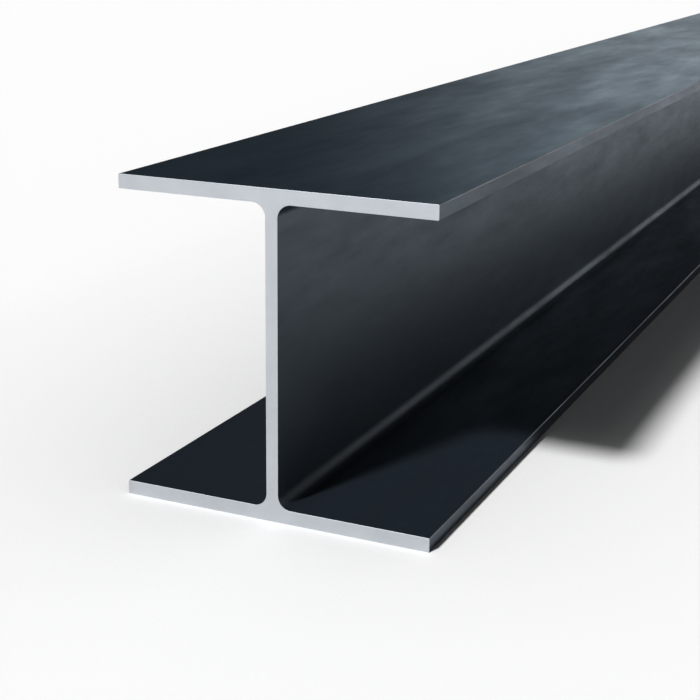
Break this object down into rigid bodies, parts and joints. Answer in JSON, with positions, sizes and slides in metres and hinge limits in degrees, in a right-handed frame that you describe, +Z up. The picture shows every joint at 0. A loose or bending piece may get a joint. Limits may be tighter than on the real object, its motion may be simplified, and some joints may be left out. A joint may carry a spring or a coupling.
{
  "type": "wide-flange steel beam",
  "caption": "Straight length of hot-rolled H-section steel beam: two parallel-sided flanges joined by a thin web with small root fillets, sawn square at the ends, lying on its lower flange.",
  "frame": {"origin": "middle of the underside, halfway along the length and halfway across the lower flange", "axes": "+Y along the beam, away from the end that the picture shows, +Z up through the depth, +X across the flanges"},
  "size_m": [0.152, 3.048, 0.1521],
  "materials": {
    "mill_scale": "satin"
  },
  "bodies": {
    "root": {"wide_flange_beam": "mill_scale"}
  },
  "joints": []
}
